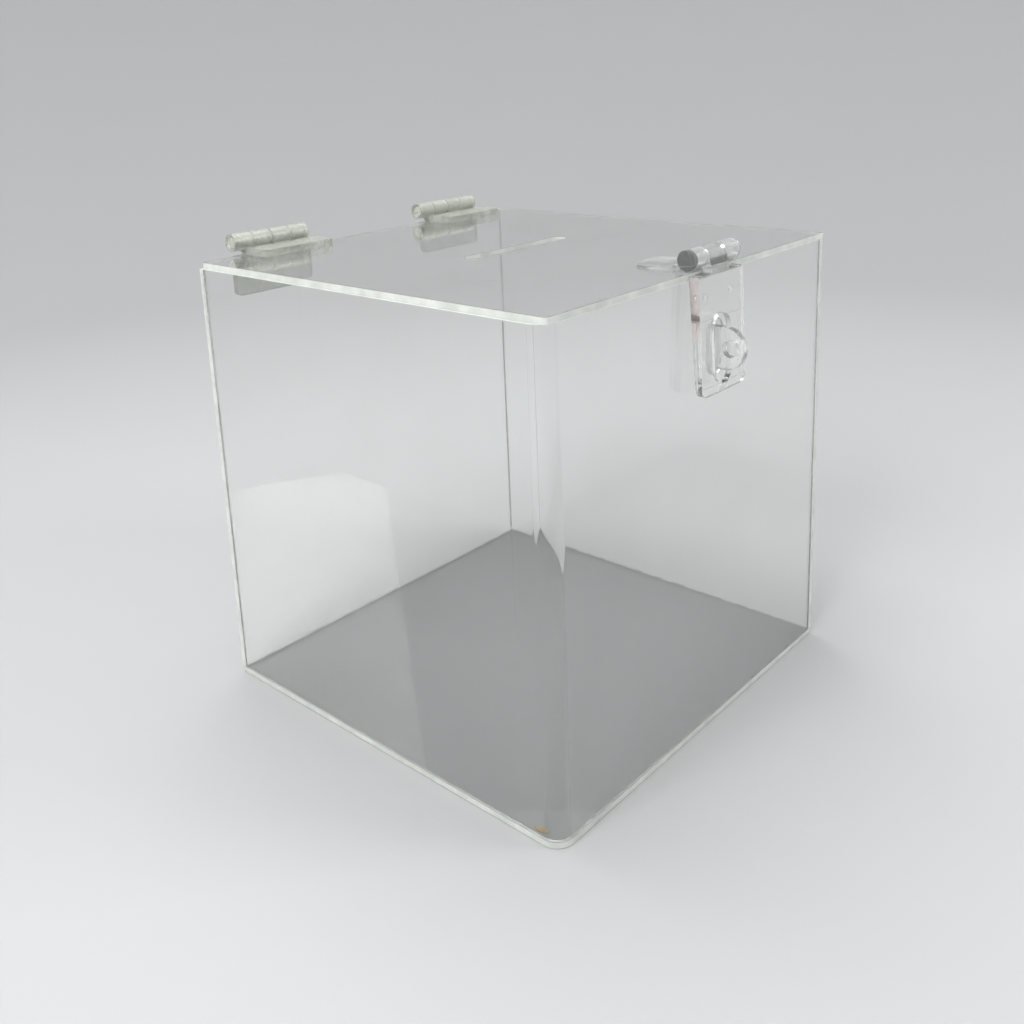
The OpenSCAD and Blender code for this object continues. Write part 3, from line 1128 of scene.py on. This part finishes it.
@dataclass
class Traces:
    """What making and handling leave: cement bubbles, dust, a run and a chip."""

    finishes: Finishes
    sheet: float = 4 * MM
    bend_clearance: float = 12 * MM
    dust_margin: float = 8 * MM
    bubble_spacing: float = 1.6 * MM
    bubble_sizes: Range = (0.07 * MM, 0.3 * MM)
    bubble_share: float = 0.45
    bubble_spread: float = 1.3 * MM
    bubble_flatness: float = 0.35
    bubble_seed: int = 11
    ball_steps: int = 2
    dust_sizes: Range = (0.05 * MM, 0.22 * MM)
    lid_dust_density: float = 900.0
    lid_dust_seed: int = 5
    base_dust_density: float = 1500.0
    base_dust_seed: int = 9
    run_seed: int = 3
    run_top: float = 3 * MM
    run_bottom: float = 42 * MM
    run_sink: float = 0.12 * MM
    run_thickness: float = 0.35 * MM
    bead_sizes: Range = (0.5, 1.5)
    bead_places: Range = (0.2, 3.0)
    bead_stretches: Range = (1.2, 2.6)
    bead_gaps: Range = (1.5, 4.0)
    bead_steps: int = 3
    chip_seed: int = 8
    chip_place: Point = (6.8 * MM, 18 * MM)
    chip_reach: Point = (1.6 * MM, 4.2 * MM)
    chip_raggedness: Range = (0.75, 1.15)
    chip_points: int = 28
    chip_thickness: float = 0.25 * MM
    chip_lift: float = 0.2 * MM
    chip_curl: float = 0.15 * MM
    chip_waves: int = 3

    def build(self) -> None:
        """Builds the traces."""
        self.bubbles()
        self.dust("lid_dust", "lid_panel", Body.LID, self.lid_dust_density,
                  self.lid_dust_seed)
        self.dust("base_dust", "base_plate", Body.BOX, self.base_dust_density,
                  self.base_dust_seed)
        self.cement_run()
        self.paper_chip()

    def seams(self) -> list[list[Vector]]:
        """Lines of the cemented seams round the base and up the corners.

        Returns:
            The points of each line.
        """
        low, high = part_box("base_plate")
        half = self.sheet / 2
        left, right = low.x + half, high.x - half
        near, far = low.y + half, high.y - half
        inner_x, inner_y = high.x - self.sheet, high.y - self.sheet
        bottom, top = high.z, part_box("bent_wall")[1].z
        around = [Vector((x, y, bottom)) for x, y in (
            (left, far), (right, far), (right, near), (low.x + self.bend_clearance, near))]
        leftward = [Vector((left, low.y + self.bend_clearance, bottom)),
                    Vector((left, inner_y, bottom))]
        posts = [[Vector((x, y, bottom)), Vector((x, y, top))] for x, y in (
            (left, inner_y), (inner_x, near), (inner_x, far))]
        return [around, leftward] + posts

    def bubbles(self) -> None:
        """Small bubbles in the cement along the seams, placed by Geometry Nodes."""
        rule = GeometryRule("cement_bubbles", [
            ("Spacing", "NodeSocketFloat", self.bubble_spacing),
            ("Smallest", "NodeSocketFloat", self.bubble_sizes[0]),
            ("Largest", "NodeSocketFloat", self.bubble_sizes[1]),
            ("Share", "NodeSocketFloat", self.bubble_share),
            ("Spread", "NodeSocketFloat", self.bubble_spread),
            ("Seed", "NodeSocketInt", self.bubble_seed),
            ("Cement", "NodeSocketMaterial", self.finishes.cement)])
        graph, given = rule.graph, rule.given
        path = graph.add("GeometryNodeMeshToCurve", {0: given["Geometry"]})
        dots = graph.add("GeometryNodeCurveToPoints", {"Curve": path.outputs[0]},
                         mode="LENGTH")
        graph.link(given["Spacing"], dots.inputs["Length"])
        self.scatter(rule, dots.outputs[0], given["Cement"], given["Spread"],
                     self.bubble_flatness)
        made = rule.run(line_mesh("seams", self.seams()))
        add_piece("seam_bubbles", made, Body.BOX)

    def scatter(self, rule: GeometryRule, points: bpy.types.NodeSocket,
                material: bpy.types.NodeSocket, spread: object = 0.0,
                flatness: float = 0.0) -> None:
        """Puts small balls of random size on points and closes the rule.

        Args:
            rule: the rule, with inputs Smallest, Largest, Share and Seed.
            points: the points.
            material: the rule's material input.
            spread: how far a ball may lie from its point, a value or socket.
            flatness: share of the spread that is kept in height.
        """
        graph, given = rule.graph, rule.given
        away = graph.add("FunctionNodeRandomValue", {
            RandomInput.LOW_VECTOR: (-1.0, -1.0, -flatness),
            RandomInput.HIGH_VECTOR: (1.0, 1.0, flatness),
            RandomInput.SEED: given["Seed"]}, data_type="FLOAT_VECTOR")
        shift = graph.add("ShaderNodeVectorMath", {
            0: away.outputs[RandomOutput.VECTOR], "Scale": spread}, operation="SCALE")
        moved = graph.add("GeometryNodeSetPosition", {
            "Geometry": points, "Offset": shift.outputs[0]})
        kept = graph.add("FunctionNodeRandomValue", {
            RandomInput.SHARE: given["Share"], RandomInput.SEED: given["Seed"]},
            data_type="BOOLEAN")
        size = graph.add("FunctionNodeRandomValue", {
            RandomInput.LOW_FLOAT: given["Smallest"],
            RandomInput.HIGH_FLOAT: given["Largest"],
            RandomInput.SEED: given["Seed"]}, data_type="FLOAT")
        ball = graph.add("GeometryNodeMeshIcoSphere", {
            "Radius": 1.0, "Subdivisions": self.ball_steps})
        placed = graph.add("GeometryNodeInstanceOnPoints", {
            "Points": moved.outputs[0],
            "Selection": kept.outputs[RandomOutput.CHOICE],
            "Instance": ball.outputs[0], "Scale": size.outputs[RandomOutput.FLOAT]})
        rule.close(placed.outputs[0], material)

    def dust(self, name: str, node: str, body: Body, density: float, seed: int) -> None:
        """Specks of dust on a sheet's top, placed by Geometry Nodes.

        Args:
            name: the piece's name.
            node: the node whose top it lies on.
            body: the body that it rides on.
            density: specks for each square metre.
            seed: seed of the random places.
        """
        rule = GeometryRule(name, [
            ("Density", "NodeSocketFloat", density),
            ("Smallest", "NodeSocketFloat", self.dust_sizes[0]),
            ("Largest", "NodeSocketFloat", self.dust_sizes[1]),
            ("Share", "NodeSocketFloat", 1.0),
            ("Seed", "NodeSocketInt", seed),
            ("Dust", "NodeSocketMaterial", self.finishes.dust)])
        graph, given = rule.graph, rule.given
        points = graph.add("GeometryNodeDistributePointsOnFaces", {
            "Mesh": given["Geometry"], "Seed": given["Seed"]}, distribute_method="RANDOM")
        graph.link(given["Density"], points.inputs["Density"])
        self.scatter(rule, points.outputs[0], given["Dust"])
        low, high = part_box(node)
        left, right = low.x + self.dust_margin, high.x - self.dust_margin
        near, far = low.y + self.dust_margin, high.y - self.dust_margin
        corners = [Vector((x, y, high.z)) for x, y in (
            (left, near), (right, near), (right, far), (left, far))]
        add_piece(name, rule.run(patch_mesh(name + "_host", corners)), body)

    def cement_run(self) -> None:
        """A run of dried cement at the top of the left corner."""
        low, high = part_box("hinged_wall")
        chance = random.Random(self.run_seed)
        shape = bmesh.new()
        z = high.z - self.run_top
        while z > high.z - self.run_bottom:
            size = chance.uniform(*self.bead_sizes) * MM
            place = Vector((low.x + self.run_sink,
                            low.y + chance.uniform(*self.bead_places) * MM, z))
            stretch = Matrix.Diagonal((
                self.run_thickness, size, size * chance.uniform(*self.bead_stretches), 1.0))
            bmesh.ops.create_icosphere(shape, subdivisions=self.bead_steps, radius=1.0,
                                       matrix=Matrix.Translation(place) @ stretch)
            z -= size * chance.uniform(*self.bead_gaps)
        mesh = settle(shape, "cement_run", [self.finishes.cement], SMOOTH_ALL)
        add_piece("cement_run", mesh, Body.BOX)

    def paper_chip(self) -> None:
        """A torn chip of masking paper left on the base by the bent corner."""
        low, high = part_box("base_plate")
        middle = Vector((low.x + self.chip_place[0], low.y + self.chip_place[1],
                         high.z + self.chip_lift))
        shape = bmesh.new()
        rings = []
        for height in (0.0, self.chip_thickness):
            ring = []
            chance = random.Random(self.chip_seed)
            for step in range(self.chip_points):
                angle = math.tau * step / self.chip_points
                reach = chance.uniform(*self.chip_raggedness)
                curl = self.chip_curl * math.sin(self.chip_waves * angle)
                ring.append(shape.verts.new(middle + Vector((
                    self.chip_reach[0] * reach * math.cos(angle),
                    self.chip_reach[1] * reach * math.sin(angle), height + curl))))
            rings.append(ring)
            shape.faces.new(ring)
        join_rings(shape, *rings, Side.FACE)
        bmesh.ops.recalc_face_normals(shape, faces=shape.faces)
        mesh = settle(shape, "paper_chip", [self.finishes.paper])
        add_piece("paper_chip", mesh, Body.BOX)


@dataclass(frozen=True)
class Softbox:
    """A rectangular soft lamp, its size in metres and its power in watts."""

    name: str
    place: tuple[float, float, float]
    target: tuple[float, float, float]
    width: float
    height: float
    power: float

    def build(self) -> None:
        """Builds the lamp and turns it to its target."""
        data = bpy.data.lights.new(self.name, "AREA")
        data.shape = "RECTANGLE"
        data.size = self.width
        data.size_y = self.height
        data.energy = self.power
        lamp = bpy.data.objects.new(self.name, data)
        place = Vector(self.place)
        turn = (Vector(self.target) - place).to_track_quat("-Z", "Y").to_matrix().to_4x4()
        lamp.matrix_world = Matrix.Translation(place) @ turn
        bpy.context.scene.collection.objects.link(lamp)


LAMPS = (
    Softbox("left_softbox", (-1.5, -0.2, 1.35), (0.0, 0.0, 0.15), 0.9, 1.2, 26.0),
    Softbox("right_softbox", (1.0, -1.6, 1.2), (0.0, 0.0, 0.15), 0.8, 1.0, 14.0),
    Softbox("top_softbox", (0.1, 0.5, 2.1), (0.0, 0.0, 0.2), 1.4, 1.4, 22.0))


@dataclass
class Studio:
    """Pale floor that sweeps up all round, soft lights and the camera."""

    floor_colour: Colour = (0.50, 0.505, 0.51)
    floor_mottle: float = 0.985
    floor_roughness: float = 0.85
    floor_sheen: float = 0.2
    floor_rings: tuple[float, ...] = (0.0, 0.4, 0.9)
    floor_radius: float = 2.6
    sweep_radius: float = 1.2
    sweep_steps: int = 24
    turn_steps: int = 96
    wall_height: float = 2.2
    floor_drop: float = 0.4 * MM
    floor_merge: float = 0.1 * MM
    sky_strength: float = 0.75
    azimuth: float = -47.90666
    elevation: float = 13.63950
    roll: float = -2.29406
    eye: tuple[float, float, float] = (-0.528481, -0.471578, 0.421846)
    focal_pixels: float = 1056.574
    centre_row: float = 325.253
    picture: int = 1024
    sensor: float = 36.0
    clip: Range = (0.01, 50.0)

    def build(self) -> None:
        """Builds the floor, the lights, the world and the camera."""
        self.floor()
        for lamp in LAMPS:
            lamp.build()
        self.world()
        self.camera()

    def floor_paint(self) -> bpy.types.Material:
        """Matt pale paint, very slightly mottled.

        Returns:
            The material.
        """
        material = bpy.data.materials.new("pale_studio_paint")
        material.use_nodes = True
        graph = Graph(material.node_tree)
        shader = material.node_tree.nodes["Principled BSDF"]
        shader.inputs["Roughness"].default_value = self.floor_roughness
        shader.inputs["Specular IOR Level"].default_value = self.floor_sheen
        where = graph.add("ShaderNodeTexCoord").outputs["Object"]
        noise = graph.add("ShaderNodeTexNoise", {"Vector": where, "Scale": 3.0, "Detail": 4.0})
        darker = tuple(part * self.floor_mottle for part in self.floor_colour)
        colour = graph.blend(noise.outputs[0], rgba(self.floor_colour), rgba(darker))
        graph.link(colour, shader.inputs["Base Color"])
        return material

    def floor(self) -> None:
        """Floor and backdrop in one swept surface."""
        flat = [(radius, 0.0) for radius in self.floor_rings]
        bend = [(self.floor_radius - self.sweep_radius + r, z) for r, z in
                arc((0.0, self.sweep_radius), self.sweep_radius, -90, 0, self.sweep_steps)]
        profile = flat + bend + [(self.floor_radius, self.wall_height)]
        shape = bmesh.new()
        points = [shape.verts.new((r, 0.0, z - self.floor_drop)) for r, z in profile]
        edges = [shape.edges.new(pair) for pair in zip(points, points[1:])]
        bmesh.ops.spin(shape, geom=points + edges, axis=(0, 0, 1), cent=(0, 0, 0),
                       steps=self.turn_steps, angle=math.tau)
        bmesh.ops.remove_doubles(shape, verts=shape.verts, dist=self.floor_merge)
        bmesh.ops.recalc_face_normals(shape, faces=shape.faces)
        if sum(face.normal.z for face in shape.faces) < 0:
            bmesh.ops.reverse_faces(shape, faces=shape.faces)
        mesh = bpy.data.meshes.new("studio_floor")
        shape.to_mesh(mesh)
        shape.free()
        mesh.shade_smooth()
        mesh.materials.append(self.floor_paint())
        floor = bpy.data.objects.new("studio_floor", mesh)
        bpy.context.scene.collection.objects.link(floor)

    def world(self) -> None:
        """Even pale sky above the sweep."""
        world = bpy.data.worlds.new("soft_sky")
        bpy.context.scene.world = world
        world.use_nodes = True
        sky = world.node_tree.nodes["Background"]
        sky.inputs["Color"].default_value = (1.0, 1.0, 1.0, 1.0)
        sky.inputs["Strength"].default_value = self.sky_strength

    def camera(self) -> None:
        """Camera at the photograph's angle, with the shift that its crop needs."""
        turn = math.radians(self.azimuth)
        rise = math.radians(self.elevation)
        roll = math.radians(self.roll)
        back = Vector((math.sin(turn) * math.cos(rise), -math.cos(turn) * math.cos(rise),
                       math.sin(rise)))
        right = Vector((0, 0, 1)).cross(back).normalized()
        up = back.cross(right)
        turned_right = math.cos(roll) * right + math.sin(roll) * up
        turned_up = -math.sin(roll) * right + math.cos(roll) * up
        data = bpy.data.cameras.new("camera")
        data.sensor_width = self.sensor
        data.lens = self.focal_pixels / self.picture * self.sensor
        data.shift_y = (self.centre_row - self.picture / 2) / self.picture
        data.clip_start, data.clip_end = self.clip
        camera = bpy.data.objects.new("camera", data)
        facing = Matrix((turned_right, turned_up, back)).transposed().to_4x4()
        camera.matrix_world = Matrix.Translation(Vector(self.eye)) @ facing
        bpy.context.scene.collection.objects.link(camera)
        bpy.context.scene.camera = camera


def main() -> None:
    """Builds the box and the studio."""
    logging.basicConfig(level=logging.INFO, format="%(message)s")
    scene = bpy.context.scene
    scene.view_settings.view_transform = "Standard"
    scene.cycles.max_bounces = GLASS_BOUNCES
    scene.cycles.transmission_bounces = GLASS_BOUNCES
    Studio().build()
    finishes = Finishes()
    for part in (SheetBox(finishes), Hinges(finishes), Hasp(finishes), Traces(finishes)):
        part.build()


if __name__ == "__main__":
    main()
